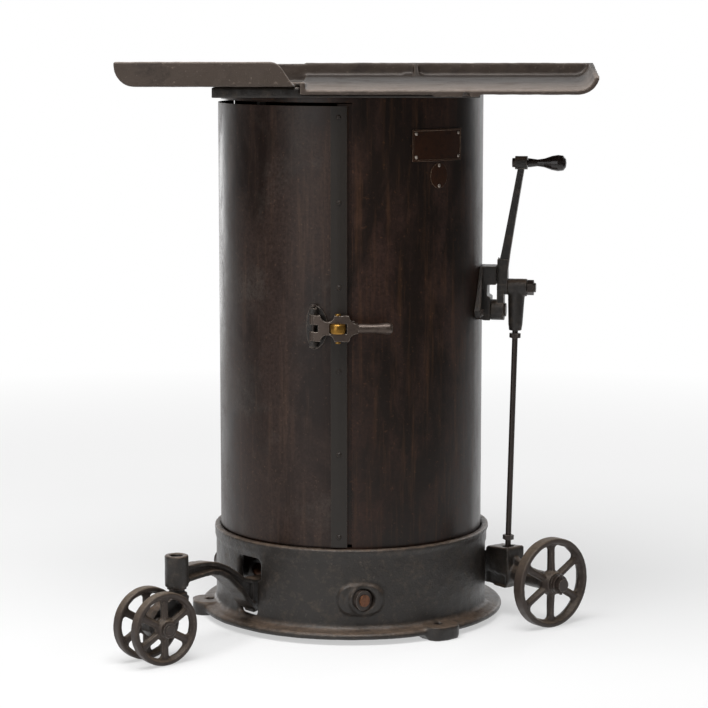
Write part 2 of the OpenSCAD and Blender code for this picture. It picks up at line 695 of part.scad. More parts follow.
module latch_plate() color("#2e2825") difference() {
    union() {
        intersection() {
            arc_plate(door_out, door_out + 2.2, 240, 264, latch_z - 50, latch_z + 50);
            translate([latch_pin_x, 0, latch_z]) rotate([90, 0, 0]) linear_extrude(300)
                polygon([for (k = [0:47]) [(k > 12 && k < 36 ? 12 : 24) * cos(7.5 * k), 37 * sin(7.5 * k)]]);
        }
        for (z = [latch_z - latch_h / 2 - 11, latch_z + latch_h / 2 + 1]) difference() {
            union() {
                at_latch_pin(z) cylinder(r = 7, h = 10);
                translate([latch_pin_x - 5, latch_pin_y, z]) cube([10, 12, 10]);
            }
            translate([0, 0, z - cut]) cylinder(r = door_out, h = 12, $fn = 144);
        }
    }
    at_latch_pin(latch_z - 60) cylinder(r = latch_pin_r + run, h = 120);
}

module latch_pin() color("#4c443d") at_latch_pin(latch_z - latch_h / 2 - 14) {
    cylinder(r = latch_pin_r, h = latch_h + 28);
    translate([0, 0, latch_h + 28]) cylinder(r = latch_pin_r + 1.6, h = 3);
}

// Front view of the latch: two knuckles, a scallop above and below, the wide part with the roller's window
module latch_face() difference() {
    polygon(rounded([[latch_pin_x + 1, -latch_h / 2], [-4, -latch_h / 2], [-1, -11], [12, -7], [12, 7],
        [-1, 11], [-4, latch_h / 2], [latch_pin_x + 1, latch_h / 2]], [0, 2, 9, 3, 3, 9, 2, 0]));
    for (s = [-1, 1]) translate([latch_pin_x + 23.5, s * (latch_h / 2 + 1)]) circle(r = 12);
    translate([latch_pin_x - 10, -knuckle_z]) square([18, 2 * knuckle_z]);
    translate([roller_x - 7.6, -roller_h / 2 - side]) square([22.6, roller_h + 2 * side]);
}

module latch_lever() color("#6a6058") difference() {
    union() {
        intersection() {
            arc_plate(lever_back, lever_back + latch_d, 252.5, 275, latch_z - 40, latch_z + 40);
            translate([0, 0, latch_z]) rotate([90, 0, 0]) linear_extrude(300) latch_face();
        }
        for (z = [-latch_h / 2, knuckle_z]) at_latch_pin(latch_z + z)
            cylinder(r = 6.6, h = latch_h / 2 - knuckle_z);
        translate([5.2, -lever_back - 2, latch_z - 6]) cube([4.8, 6.5, 14]);
        translate([-1, -lever_back - 8.3, latch_z]) rotate([0, 90, 0]) rotate_extrude() polygon(handle_profile());
    }
    at_latch_pin(latch_z - 60) cylinder(r = latch_pin_r + run, h = 120);
    translate([roller_x, roller_y, latch_z - 60]) cylinder(r = roller_pin_r + run, h = 120);
    translate([roller_x, roller_y, latch_z - roller_h / 2 - side]) cylinder(r = roller_r + 1, h = roller_h + 2 * side);
}

function handle_profile() = let (l = latch_pin_x + latch_reach - 3)
    [[0, 0], [7.5, 0], [8, 0.25 * l], [7.4, 0.5 * l], [8.4, 0.7 * l], [9.8, 0.84 * l], [9.4, 0.93 * l],
        [7, 0.985 * l], [3, l], [0, l]];

module roller_pin() color("#8a7040") translate([roller_x, roller_y, latch_z - latch_h / 2 - 3]) {
    cylinder(r = roller_pin_r, h = latch_h + 6);
    for (z = [0, latch_h + 3.2]) translate([0, 0, z]) cylinder(r = roller_pin_r + 1.8, h = 2.8);
}

module latch_roller() color("#b08a3c") translate([roller_x, roller_y, latch_z - roller_h / 2])
    rotate_extrude()
    polygon([[roller_pin_r + run, 0], [roller_r - 1.6, 0], [roller_r - 0.4, 2], [roller_r, roller_h / 2],
        [roller_r - 0.4, roller_h - 2], [roller_r - 1.6, roller_h], [roller_pin_r + run, roller_h]]);

module latch_keeper() color("#3a332e") difference() {
    translate([1.2, -lever_back + 1.2, latch_z - 9]) cube([3.4, 10, 20]);
    translate([0, 0, latch_z - 20]) cylinder(r = shell_r, h = 60, $fn = 144);
}

// ---- hand lever and lift rod ----

module lever_bracket() color("#2f2a27") in_lever() difference() {
    intersection() {
        union() {
            side_plate(bracket_w) polygon([[shell_r - 8, lever_z - 14], [shell_r + 8, lever_z - 17],
                [hub_in - side, lever_z - 17], [hub_in - side, lever_z + 23], [hub_in - 6, lever_z + 26],
                [hub_in - 6, lever_z + 45], [bracket_out, lever_z + 45], [bracket_out, lever_z + 77],
                [shell_r - 8, lever_z + 77]]);
            for (s = [-1, 1]) rotate([90, 0, 90]) linear_extrude(shell_r + 5.5) polygon([
                [s * 10, lever_z + 76], [s * 24, lever_z + 76], [s * 56, lever_z + 2],
                [s * 52, lever_z - 9], [s * 42, lever_z - 9]]);
        }
        translate([0, 0, lever_z - 60]) tube(shell_r, shell_r + 60, 200);
    }
    outwards(shell_r - 20, lever_z) cylinder(r = stud_r + run, h = 80);
    for (p = bracket_bolt_at) translate([0, p[0], p[1]]) outwards(shell_r - 78, 0)
        cylinder(r = bracket_bolt_r + run, h = 150);
}

module bracket_bolts() color("#46403a") in_lever() for (p = bracket_bolt_at) translate([0, p[0], p[1]]) {
    face = sqrt(shell_r * shell_r - p[0] * p[0]);
    outwards(face - 16, 0) cylinder(r = bracket_bolt_r, h = shell_r + 5.5 - face + 16);
    outwards(shell_r + 5.5, 0) cylinder(r1 = 7, r2 = 5.5, h = 4);
    outwards(face - 16, 0) rotate([0, 0, 30]) hex_nut(11, 5.4);
}

module lever_stud() color("#5c4a3a") in_lever() {
    outwards(shell_r - sheet_t - 12, lever_z) cylinder(r = stud_r, h = hub_in + 25.3 - shell_r + sheet_t + 12);
    outwards(shell_r - sheet_t - 10, lever_z) hex_nut(26, 9);
    outwards(hub_in + 22.3, lever_z) cylinder(r = stud_r + 3.5, h = 3);
}

module hand_lever() color("#33302d") in_lever() difference() {
    union() {
        outwards(hub_in, lever_z) cylinder(r = 18, h = 22);
        outwards(lever_in, crank_z) cylinder(r = 13, h = lever_t);
        translate([lever_in, 0, lever_z]) rotate([90, 0, 90]) linear_extrude(12) polygon([[-13, 0],
            [13, 0], [12, throw], [8.4, 88], [-8.4, 88], [-12, throw]]);
        translate([lever_in + 6, 0, lever_z]) rotate([90, 0, 90]) linear_extrude(lever_t - 6)
            polygon([[-12, throw], [12, throw], [8.4, 88], [-8.4, 88]]);
        side_plate(1 + 2 * 6) polygon(rounded(concat(
            [for (k = [0:6]) arm_edge(k / 6, -1)], [for (k = [6:-1:0]) arm_edge(k / 6, 1)]),
            [for (k = [0:13]) 0]));
        outwards(arm_top_rho - 11, lever_z + lever_len - 10) cylinder(r = 11.5, h = 21);
        side_plate(10) polygon([[lever_in + 0.5, lever_z + 50], [lever_in + 8, lever_z + 50],
            [lever_in + 9, lever_z + 88], [lever_in + 5, lever_z + 87], [lever_in + 1, lever_z + 91]]);
    }
    outwards(hub_in - cut, lever_z) cylinder(r = stud_r + run, h = 40);
    outwards(lever_in - cut, crank_z) cylinder(r = crank_pin_r + run, h = 60);
    outwards(arm_top_rho - 20, lever_z + lever_len - 10) cylinder(r = spindle_grip_r + run, h = 40);
}

// Edge of the lever's arm at share t of its height: it leans outwards as it rises
function arm_edge(t, s) = let (z = 70 + t * (lever_len - 85), w = 9 - 3.6 * sqrt(t))
    [lever_in + 9 + (arm_lean - 9) * t + s * w, lever_z + z];

module crank_pin() color("#5a5048") in_lever() {
    outwards(lever_in, crank_z) cylinder(r = crank_pin_r, h = head_in + head_l + 15 - lever_in);
}

module crank_nut() color("#5a5048") in_lever() outwards(head_in + head_l + side, crank_z) difference() {
    hex_nut(23, 11);
    translate([0, 0, -cut]) cylinder(r = crank_pin_r + run, h = 13);
}

module lever_grip() color("#2a1c16") in_lever() translate([arm_top_rho + 11, 0, lever_z + lever_len - 10])
    rotate([0, 90, 0]) difference() {
        rotate_extrude() polygon([[0, 0.4], [8, 0.4], [7.4, 0.08 * grip_l], [5.9, 0.25 * grip_l],
            [7.6, 0.42 * grip_l], [grip_r + 2, 0.62 * grip_l], [grip_r + 3.8, 0.78 * grip_l],
            [grip_r + 2.6, 0.92 * grip_l], [grip_r - 3, 0.985 * grip_l], [0, grip_l]]);
        translate([0, 0, -cut]) cylinder(r = spindle_grip_r + run, h = 0.8 * grip_l);
    }

module grip_spindle() color("#6a6058") in_lever() {
    outwards(arm_top_rho - 14, lever_z + lever_len - 10) cylinder(r = spindle_grip_r, h = 0.75 * grip_l + 25);
    outwards(arm_top_rho - 16, lever_z + lever_len - 10) cylinder(r = 8, h = 5);
}

// Children drawn along the lift rod: z up it, zero at the crank pin
module on_rod() in_lever() translate([rod_top_rho, 0, crank_z]) rotate([0, rod_tilt, 0]) children();

module rod_head() color("#322e2b") difference() {
    union() {
        in_lever() outwards(head_in, crank_z) cylinder(r = head_r, h = head_l);
        intersection() {
            on_rod() translate([0, 0, -66]) cylinder(r1 = 12.3, r2 = 15.2, h = 62);
            in_lever() translate([head_in, -30, crank_z - 90]) cube([60, 60, 120]);
        }
        on_rod() translate([0, 0, -75]) cylinder(r1 = 11, r2 = 12, h = 9.5);
    }
    in_lever() outwards(head_in - cut, crank_z) cylinder(r = crank_pin_r + run, h = head_l + 2);
    on_rod() translate([0, 0, -100]) cylinder(r = rod_r + run, h = 78);
}

module lift_rod() color("#4a4038") on_rod() translate([0, 0, rod_foot_s]) cylinder(r = rod_r, h = -rod_foot_s - 24);

module rod_nuts() color("#4a4038") on_rod() for (s = [rod_collar_s, -88]) translate([0, 0, s]) difference() {
    hex_nut(17, 8);
    translate([0, 0, -cut]) cylinder(r = rod_r + run, h = 10);
}

// ---- truck ----

arm_low = [[-32, 33], [-8, 36], [12, 44], [31, 60], [42, 74], [60, 88], [83, 107], [104, 118], [128, 124],
    [arm_len - 4, 125]];
arm_high = [[arm_len - 4, 152], [159, 150.5], [131, 147], [102, 140], [74, 128], [45, 111], [30, 101],
    [6, 93], [-32, 90]];

module front_arm() color("#3a3633") in_truck() difference() {
    union() {
        translate([arm_f, slot_n, 0]) rotate([0, 0, arm_dir]) {
            side_plate(arm_w / 2) polygon(concat(arm_low, arm_high));
            side_plate(arm_w + 4) polygon(concat([for (p = arm_low) p],
                [for (k = [len(arm_low) - 1:-1:0]) arm_low[k] + [-6, 8]]));
            side_plate(arm_w - 4) polygon(concat([for (p = arm_high) p],
                [for (k = [len(arm_high) - 1:-1:0]) arm_high[k] + [4, -7]]));
        }
        translate([0, slot_n, 0]) side_plate(arm_w) polygon([[pivot_f, pivot_z - 24], [arm_f + 2, 33], [arm_f + 2, 90],
            [pivot_f, pivot_z + 24]]);
        across(pivot_f, slot_n - 30, pivot_z) cylinder(r = 24, h = 60);
        translate([swivel_f, swivel_n, housing_z0]) cylinder(r = housing_r, h = housing_z1 - housing_z0);
    }
    across(pivot_f, -60, pivot_z) cylinder(r = pivot_r + run, h = 160);
    translate([swivel_f, swivel_n, 60]) cylinder(r = spindle_r + run, h = 160);
}

module arm_bolts() color("#46403a") in_truck() for (s = [-1, 1])
    across(pivot_f, slot_n + s * 40 - 6, pivot_z) difference() {
        cylinder(r = 19, h = 12);
        translate([0, 0, -cut]) cylinder(r = pivot_r + run, h = 14);
    }

// Half of the rear beam seen from behind: distance from the centre line and height
beam_half = [[153, beam_z1], [163, 105], [171, 113], [173, 120], [227, 125], [229, 120], [231, 66], [222, 51],
    [188, 53], [164, 55], [153, beam_z0]];

module axle_frame() color("#33302d") in_truck() difference() {
    union() {
        translate([-axle_f - beam_w / 2, 0, 0]) rotate([90, 0, 90]) linear_extrude(beam_w) polygon(concat(
            beam_half, [for (k = [len(beam_half) - 1:-1:0]) [-beam_half[k][0], beam_half[k][1]]]));
        for (s = [-1, 1]) {
            translate([0, s * frame_n, 0]) side_plate(14) polygon([[pivot_f, pivot_z - 22],
                [pivot_f, pivot_z + 22], [-axle_f + 60, beam_z1 - 6], [-axle_f, beam_z1 - 4],
                [-axle_f, beam_z0 + 4], [-axle_f + 60, beam_z0]]);
            across(pivot_f, s * frame_n - 18, pivot_z) cylinder(r = 22, h = 36);
            across(-axle_f, s > 0 ? 225 : -bearing_end, wheel_r) cylinder(r = 16, h = bearing_end - 225);
            translate([-axle_f, 0, 0]) rotate([90, 0, 90]) translate([0, 0, -6]) linear_extrude(12)
                polygon([[s * 228, wheel_r - 10], [s * 228, 108], [s * 262, 96], [s * (bearing_end - 4), 90],
                    [s * (bearing_end - 4), wheel_r - 10]]);
        }
    }
    across(pivot_f, -160, pivot_z) cylinder(r = pivot_r + run, h = 320);
    across(-axle_f, -400, wheel_r) cylinder(r = axle_r + run, h = 800);
    translate([-axle_f, rod_n, -20]) cylinder(r = rod_r + rod_room, h = 200);
    for (s = [-1, 1]) translate([-axle_f, s * 200, beam_z0 + 8]) for (t = [-1, 1])
        translate([t * (beam_w / 2 + 8), 0, 4]) cube([24, 46, 22], center = true);
}

module rear_axle() color("#5a5048") in_truck() difference() {
    across(-axle_f, -axle_end, wheel_r) cylinder(r = axle_r, h = 2 * axle_end);
    for (s = [-1, 1]) translate([-axle_f, s * (axle_end - 7), 0]) cylinder(r = 2.5 + run, h = 200);
    translate([-axle_f, rod_n, -20]) cylinder(r = rod_r + rod_room, h = 200);
}

module axle_washers() color("#5a5048") in_truck() for (s = [-1, 1]) for (p = [[bearing_end + 0.2, 2.6, 17], [wheel_out + 5, 3, 17]])
    across(-axle_f, s > 0 ? p[0] : -p[0] - p[1], wheel_r) tube(axle_r + run, p[2], p[1]);

module axle_cotters() color("#6a6058") in_truck() for (s = [-1, 1]) {
    translate([-axle_f, s * (axle_end - 7), wheel_r - 17]) cylinder(r = 2.5, h = 36);
    across(-axle_f, s > 0 ? wheel_out + 8.2 : -wheel_out - 14.2, wheel_r) tube(axle_r + run, axle_r + 5, 6);
}

// Opening between two spokes of half width h, from radius r0 to r1
module spoke_gap(r0, r1, h, r_in, r_out) {
    a0 = 30 - asin(h / r0);
    a1 = 30 - asin(h / r1);
    polygon(rounded([r0 * [cos(a0), -sin(a0)], r1 * [cos(a1), -sin(a1)], [r1, 0], r1 * [cos(a1), sin(a1)],
        r0 * [cos(a0), sin(a0)]], [r_in, r_out, 0, r_out, r_in], 5));
}

// A cast wheel about +Z: tread, web with six spokes and a hub, its tread centred on z = 0
module cast_wheel(r, w, bore, hub_r, hub_w0, hub_w1, rim_t, web_t, gap_r0, spoke) difference() {
    union() {
        rotate_extrude($fn = 144) polygon([[r - rim_t, -w / 2], [r - 1.5, -w / 2], [r, -w / 2 + 1.5],
            [r, w / 2 - 1.5], [r - 1.5, w / 2], [r - rim_t, w / 2], [r - rim_t - 3, web_t / 2],
            [hub_r + 3, web_t / 2], [hub_r, hub_w1 - 1], [hub_r - 1, hub_w1], [bore, hub_w1],
            [bore, -hub_w0], [hub_r, -hub_w0], [hub_r + 2, -web_t / 2], [r - rim_t - 3, -web_t / 2]]);
        for (k = [0:5]) rotate([0, 0, 60 * k + 30]) translate([0, spoke * 0.28, 0]) rotate([90, 0, 0])
            linear_extrude(spoke * 0.56) polygon([[hub_r - 2, -w * 0.3], [r - rim_t, -w * 0.24],
                [r - rim_t, w * 0.24], [hub_r - 2, w * 0.4]]);
    }
    for (k = [0:5]) rotate([0, 0, 60 * k]) translate([0, 0, -w]) linear_extrude(2 * w)
        spoke_gap(gap_r0, r - rim_t - 3.5, spoke / 2, 2, r * 0.085);
}

wheel_mid = wheel_out - wheel_w / 2;

module wheel_right() color("#4a4540") in_truck() across(-axle_f, wheel_mid, wheel_r)
    cast_wheel(wheel_r, wheel_w, axle_r + run, 19, 10.4, 15, 8, 7, 23, spoke_w);

module wheel_left() color("#4a4540") in_truck() across(-axle_f, -wheel_mid, wheel_r) mirror([0, 0, 1])
    cast_wheel(wheel_r, wheel_w, axle_r + run, 19, 10.4, 15, 8, 7, 23, spoke_w);

// ---- caster ----

module caster_fork() color("#3a3633") in_truck() difference() {
    union() {
        translate([0, swivel_n, 0]) side_plate(26) polygon([[swivel_f - 16, 104], [swivel_f - 15, 84],
            [caster_f - 20, caster_r - 12], [caster_f - 8, caster_r - 19], [caster_f + 8, caster_r - 19],
            [caster_f + 19, caster_r - 6], [caster_f + 19, caster_r + 6], [caster_f + 4, 88],
            [swivel_f + 17, 104]]);
        translate([swivel_f, swivel_n, 96]) cylinder(r = 17, h = 14);
        translate([swivel_f, swivel_n, 109]) cylinder(r = 13, h = 7);
        across(caster_f, swivel_n - 16.5, caster_r) cylinder(r = 16, h = 33);
    }
    across(caster_f, swivel_n - 60, caster_r) cylinder(r = caster_axle_r + run, h = 120);
    translate([swivel_f, swivel_n, 86]) cylinder(r = spindle_r + run, h = 60);
}

module caster_spindle() color("#5a5048") in_truck() translate([swivel_f, swivel_n, 86]) {
    cylinder(r = spindle_r, h = housing_z1 - 86 - 5);
    translate([0, 0, 30.2]) cylinder(r = 16, h = housing_z0 - 86 - 30.5);
}

module caster_axle() color("#5a5048") in_truck() across(caster_f, swivel_n - caster_axle_l / 2, caster_r)
    cylinder(r = caster_axle_r, h = caster_axle_l);

module caster_collars() color("#6a6058") in_truck() for (s = [-1, 1])
    across(caster_f, s > 0 ? swivel_n + collar_n : swivel_n - collar_n - 5, caster_r)
        tube(caster_axle_r + run, caster_axle_r + 4.5, 5);

module caster_wheel()
    cast_wheel(caster_r, caster_w, caster_axle_r + run, 14.5, caster_w / 2 + 0.4, caster_w / 2 + 2.6, 7, 6, 20,
        spoke_w);

module caster_wheel_outer() color("#4a4540") in_truck() across(caster_f, swivel_n + caster_gauge / 2, caster_r)
    caster_wheel();

module caster_wheel_inner() color("#4a4540") in_truck() across(caster_f, swivel_n - caster_gauge / 2, caster_r)
    mirror([0, 0, 1]) caster_wheel();

base_casting();
cabinet_shell();
floor_plate();
top_disc();
door_jamb();
saddle_plate();
tray_table();
table_bolts();
name_plate();
oval_plate();
plate_pins();
hinge_leaves_fixed();
hinge_pins();
latch_keeper();
pivot_shaft();
pivot_nuts();
front_arm();
arm_bolts();
lever_bracket();
bracket_bolts();
lever_stud();
door_skin();
door_strap();
door_bands();
strap_rivets();
hinge_leaves_door();
latch_plate();
latch_pin();
latch_lever();
roller_pin();
latch_roller();
hand_lever();
grip_spindle();
lever_grip();
crank_pin();
crank_nut();
rod_head();
lift_rod();
rod_nuts();
axle_frame();
rear_axle();
axle_washers();
axle_cotters();
wheel_right();
wheel_left();
caster_fork();
caster_spindle();
caster_axle();
caster_collars();
caster_wheel_outer();
caster_wheel_inner();
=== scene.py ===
import math

import bpy
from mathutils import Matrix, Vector

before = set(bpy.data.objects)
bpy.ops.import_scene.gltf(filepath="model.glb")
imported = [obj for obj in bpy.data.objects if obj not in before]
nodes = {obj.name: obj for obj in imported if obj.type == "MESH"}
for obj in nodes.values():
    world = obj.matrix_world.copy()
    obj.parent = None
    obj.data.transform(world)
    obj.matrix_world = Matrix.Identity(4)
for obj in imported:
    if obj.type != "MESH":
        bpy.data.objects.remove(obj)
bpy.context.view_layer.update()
scene = bpy.context.scene
MM = 0.001


# ---- shader helpers ----

# The Mix node has a set of sockets for each kind of value, all of the same names: these are the colours'
MIX_SHARE, MIX_UNDER, MIX_OVER, MIX_TONE = 0, 6, 7, 2


def colour(hex_code):
    """sRGB hex to linear RGBA."""
    parts = [int(hex_code[i:i + 2], 16) / 255 for i in (1, 3, 5)]
    return tuple(c / 12.92 if c <= 0.04045 else ((c + 0.055) / 1.055) ** 2.4 for c in parts) + (1.0,)


def grey(level):
    """A linear grey, from black at 0 to white at 1."""
    return (level, level, level, 1)


def add(tree, kind, inputs=None, pick=0, **settings):
    """Adds one node with its settings and links, and gives the output that is picked.

    An input is a value, a hex colour or the output that feeds it.
    """
    made = tree.nodes.new(kind)
    for name, value in settings.items():
        setattr(made, name, value)
    for name, value in (inputs or {}).items():
        if isinstance(value, bpy.types.NodeSocket):
            tree.links.new(value, made.inputs[name])
        else:
            made.inputs[name].default_value = colour(value) if isinstance(value, str) else value
    return made.outputs[pick] if made.outputs else None


def bare_material(name):
    """A material with no nodes yet."""
    mat = bpy.data.materials.new(name)
    mat.use_nodes = True
    mat.node_tree.nodes.clear()
    return mat


def spots(tree, place, size_mm, low, high, detail, rough, warp=0.0):
    """Spots of about this size: 0 where the noise is under low, 1 where it is over high."""
    cloud = add(tree, "ShaderNodeTexNoise",
                {"Vector": place, "Scale": 1 / (size_mm * MM), "Detail": detail, "Roughness": rough,
                 "Distortion": warp}, pick="Fac")
    return add(tree, "ShaderNodeMapRange", {"Value": cloud, "From Min": low, "From Max": high})


def lay(tree, tone, over, *shares):
    """Lays one colour over another, by the product of the shares."""
    share = shares[0]
    for factor in shares[1:]:
        share = add(tree, "ShaderNodeMath", {0: share, 1: factor}, operation="MULTIPLY")
    return add(tree, "ShaderNodeMix", {MIX_SHARE: share, MIX_UNDER: tone, MIX_OVER: over},
               pick=MIX_TONE, data_type="RGBA")


def relief(tree, place, normal, size_mm, height_mm, detail, rough):
    """Bumps of this size and height, as a turn of the normal."""
    cloud = add(tree, "ShaderNodeTexNoise",
                {"Vector": place, "Scale": 1 / (size_mm * MM), "Detail": detail, "Roughness": rough},
                pick="Fac")
    return add(tree, "ShaderNodeBump",
               {"Height": cloud, "Strength": 1.0, "Distance": height_mm * MM, "Normal": normal})


# ---- finishes ----

# Patches of the second tone start at this level of their noise, less this for each full share of them
PATCH_START = 0.66
PATCH_SPREAD = 0.3
PATCH_EDGE = 0.14
PATCH_ROUGHER = 0.16
# Fine mottling is this many grains across
MOTTLE_GRAINS = 3
# Rust runs down a sheet: their width and how much they are drawn out
RUN_MM = 14
RUN_STRETCH = 0.06
# Rust specks
SPECK_MM = 5
# The cloudy bloom on the door's film
BLOOM_MM = 150
BLOOM_SHARE = 0.55
# Painted shade and dirt darken corners, where another face is nearer than this
CORNER_MM = 30
SHADE_AND_GRIME_TONE = "#120d0a"
# Faces that look up get darker towards the back with this tone, by this share
BACK_DARK_TONE = "#1d1713"
BACK_DARK_SHARE = 0.9
RAY_SAMPLES = 6


def aged_finish(name, base, patch, bare, dust=None, bloom=None, metallic=0.0, rough=0.45, specular=0.5,
                patch_mm=40, patches=0.5, streak=1.0, grain_mm=2.0, grain_bump=0.2, lumps_mm=None,
                lump_bump=1.0, wear=0.5, wear_mm=1.5, dust_share=0.5, runs=0.0, speckle=0.0, shade_and_grime=0.0,
                dark_back_mm=None):
    """An old finish on metal or wood, built up in layers.

    base and patch are the finish and its patches, which streak draws out upwards. bare shows in rust runs,
    in specks and on rubbed edges, dust on faces that look up, and bloom as a cloudy film. patches, wear,
    dust_share, runs, speckle and grime say how much there is of each; grime also darkens corners as painted
    shade with dirt. dark_back_mm is the stretch along Y over which faces that look up get darker towards
    the back.
    """
    mat = bare_material(name)
    tree = mat.node_tree
    place = add(tree, "ShaderNodeTexCoord", pick="Object")
    flat = add(tree, "ShaderNodeNewGeometry", pick="Normal")
    mottle = add(tree, "ShaderNodeTexNoise",
                 {"Vector": place, "Scale": 1 / (grain_mm * MOTTLE_GRAINS * MM), "Detail": 5.0,
                  "Roughness": 0.75}, pick="Fac")

    def mottled(low, high):
        """The fine mottling between two of its levels."""
        return add(tree, "ShaderNodeMapRange", {"Value": mottle, "From Min": low, "From Max": high})

    def facing_up():
        """1 on a face that looks up, 0 on a steep one."""
        rise = add(tree, "ShaderNodeSeparateXYZ", {"Vector": flat}, pick="Z")
        return add(tree, "ShaderNodeMapRange", {"Value": rise, "From Min": 0.2, "From Max": 0.9})

    # Patches of the second tone, whose faces are rougher too
    drawn = add(tree, "ShaderNodeMapping", {"Vector": place, "Scale": (1, 1, 1 / streak)})
    start = PATCH_START - PATCH_SPREAD * patches
    patchy = spots(tree, drawn, patch_mm, start, start + PATCH_EDGE, detail=9.0, rough=0.66, warp=0.5)
    patched = add(tree, "ShaderNodeMath", {0: patchy, 1: mottled(0.3, 0.62)}, operation="MULTIPLY")
    tone = lay(tree, base, patch, patched)
    roughness = add(tree, "ShaderNodeMapRange", {"Value": patched, "To Min": rough,
                                                 "To Max": min(1.0, rough + PATCH_ROUGHER)})

    # What age has left on it, with painted shade in corners and a darker back
    if runs:
        columns = add(tree, "ShaderNodeMapping", {"Vector": place, "Scale": (1, 1, RUN_STRETCH)})
        tone = lay(tree, tone, bare, spots(tree, columns, RUN_MM, 0.52, 0.74, detail=6.0, rough=0.7), runs)
    if bloom:
        cloudy = spots(tree, place, BLOOM_MM, 0.5, 0.66, detail=7.0, rough=0.62, warp=0.8)
        tone = lay(tree, tone, bloom, cloudy, mottled(0.3, 0.6), BLOOM_SHARE)
    if speckle:
        specks = spots(tree, place, SPECK_MM, 0.66, 0.72, detail=2.0, rough=0.5)
        tone = lay(tree, tone, bare, specks, speckle)
    if dust:
        tone = lay(tree, tone, dust, facing_up(), mottled(0.25, 0.6), dust_share)
    # Faces that look up get darker towards the back, along Y
    if dark_back_mm:
        along = add(tree, "ShaderNodeSeparateXYZ", {"Vector": place}, pick="Y")
        towards_back = add(tree, "ShaderNodeMapRange", {"Value": along, "From Min": dark_back_mm[0] * MM,
                                                "From Max": dark_back_mm[1] * MM})
        tone = lay(tree, tone, BACK_DARK_TONE, facing_up(), towards_back, BACK_DARK_SHARE)
    # Painted shade, with some dirt, in corners where other faces are near
    if shade_and_grime:
        open_share = add(tree, "ShaderNodeAmbientOcclusion", {"Distance": CORNER_MM * MM}, pick="AO",
                         samples=RAY_SAMPLES)
        shaded_corners = add(tree, "ShaderNodeMapRange", {"Value": open_share, "From Min": 0.85, "From Max": 0.35})
        tone = lay(tree, tone, SHADE_AND_GRIME_TONE, shaded_corners, shade_and_grime)

    # An edge is where the rounded normal turns away from the flat one, and it is rubbed bare
    rounded = add(tree, "ShaderNodeBevel", {"Radius": wear_mm * MM}, samples=RAY_SAMPLES)
    turned = add(tree, "ShaderNodeVectorMath", {0: rounded, 1: flat}, pick="Value",
                 operation="DOT_PRODUCT")
    edge = add(tree, "ShaderNodeMapRange", {"Value": turned, "From Min": 0.995, "From Max": 0.9})
    tone = lay(tree, tone, bare, edge, mottled(0.36, 0.6), wear)

    normal = relief(tree, place, rounded, grain_mm, grain_bump, detail=4.0, rough=0.7)
    if lumps_mm:
        normal = relief(tree, place, normal, lumps_mm, lump_bump, detail=3.0, rough=0.5)
    face = add(tree, "ShaderNodeBsdfPrincipled",
               {"Base Color": tone, "Metallic": metallic, "Roughness": roughness,
                "Specular IOR Level": specular, "Normal": normal})
    add(tree, "ShaderNodeOutputMaterial", {"Surface": face})
    return mat


# Rolled sheet steel, japanned black and gone brown: a satin film with thin rust in patches, runs and specks
sheet_steel = aged_finish(
    "japanned_sheet_steel", "#1c1410", "#33211a", "#7a5233", rough=0.3, specular=0.27,
    patch_mm=70, patches=0.7, streak=2.6, grain_mm=1.6, grain_bump=0.07, lumps_mm=130, lump_bump=1.6,
    wear=0.5, wear_mm=0.6, runs=0.2, speckle=0.14)

# The door is the same steel with a grey bloom on its film and larger patches
door_steel = aged_finish(
    "japanned_door_steel", "#1f1511", "#342620", "#7a5c48", bloom="#443e39", rough=0.3, specular=0.27,
    patch_mm=90, patches=0.9, streak=2.0, grain_mm=1.8, grain_bump=0.08, lumps_mm=120, lump_bump=2.0,
    wear=0.4, wear_mm=0.6, runs=0.16, speckle=0.16)

# Rolled strap down the door's edge: flatter and greyer than the sheet, its patches drawn out along it
strap_steel = aged_finish(
    "rolled_strap_steel", "#25201c", "#312822", "#756152", rough=0.36, specular=0.35,
    patch_mm=50, patches=0.5, streak=4.0, grain_mm=1.4, grain_bump=0.05, wear=0.6, wear_mm=0.8)

# Sand-cast grey iron under black paint: a pebbled skin from the mould, brown where the paint has gone.
# Its grain is drawn coarser than real sand, which is too fine to show
# Painted shade and dirt darken its corners
cast_iron = aged_finish(
    "sand_cast_grey_iron", "#282421", "#433a32", "#8a7c70", dust="#6b5a4c", rough=0.36, specular=0.4,
    patch_mm=16, patches=0.5, grain_mm=3.4, grain_bump=0.8, lumps_mm=20, lump_bump=1.8,
    wear=0.8, wear_mm=2.5, dust_share=0.8, speckle=0.12, shade_and_grime=0.7)

# The tray's cast iron without its paint: brown-grey oxide, pale on worn edges, darker towards the back,
# with painted shade and dirt in its corners
tray_iron = aged_finish(
    "oxidised_cast_iron", "#443931", "#2a211c", "#9c8d80", dust="#7d6f64", rough=0.5, specular=0.4,
    patch_mm=60, patches=0.5, grain_mm=2.2, grain_bump=0.45, lumps_mm=22, lump_bump=1.2,
    wear=0.95, wear_mm=3.0, dust_share=0.85, speckle=0.2, shade_and_grime=0.7, dark_back_mm=(-255, 40))

# Cast iron wheels whose treads roll on the floor: rubbed to a dull brown-grey, with painted shade and dirt
# in their corners
tread_iron = aged_finish(
    "rolled_tread_iron", "#3a302a", "#2c2521", "#8c7d6d", dust="#6d5f50", rough=0.5, specular=0.4,
    patch_mm=22, patches=0.5, grain_mm=1.6, grain_bump=0.25, lumps_mm=14, lump_bump=0.5,
    wear=0.9, wear_mm=3.0, dust_share=0.9, shade_and_grime=0.6)

# Forged and turned steel: dark oxide, bare on its edges
turned_steel = aged_finish(
    "oxidised_turned_steel", "#332b26", "#40302a", "#a3968a", metallic=0.3, rough=0.36,
    patch_mm=9, patches=0.5, grain_mm=0.9, grain_bump=0.08, wear=0.8, wear_mm=1.0)

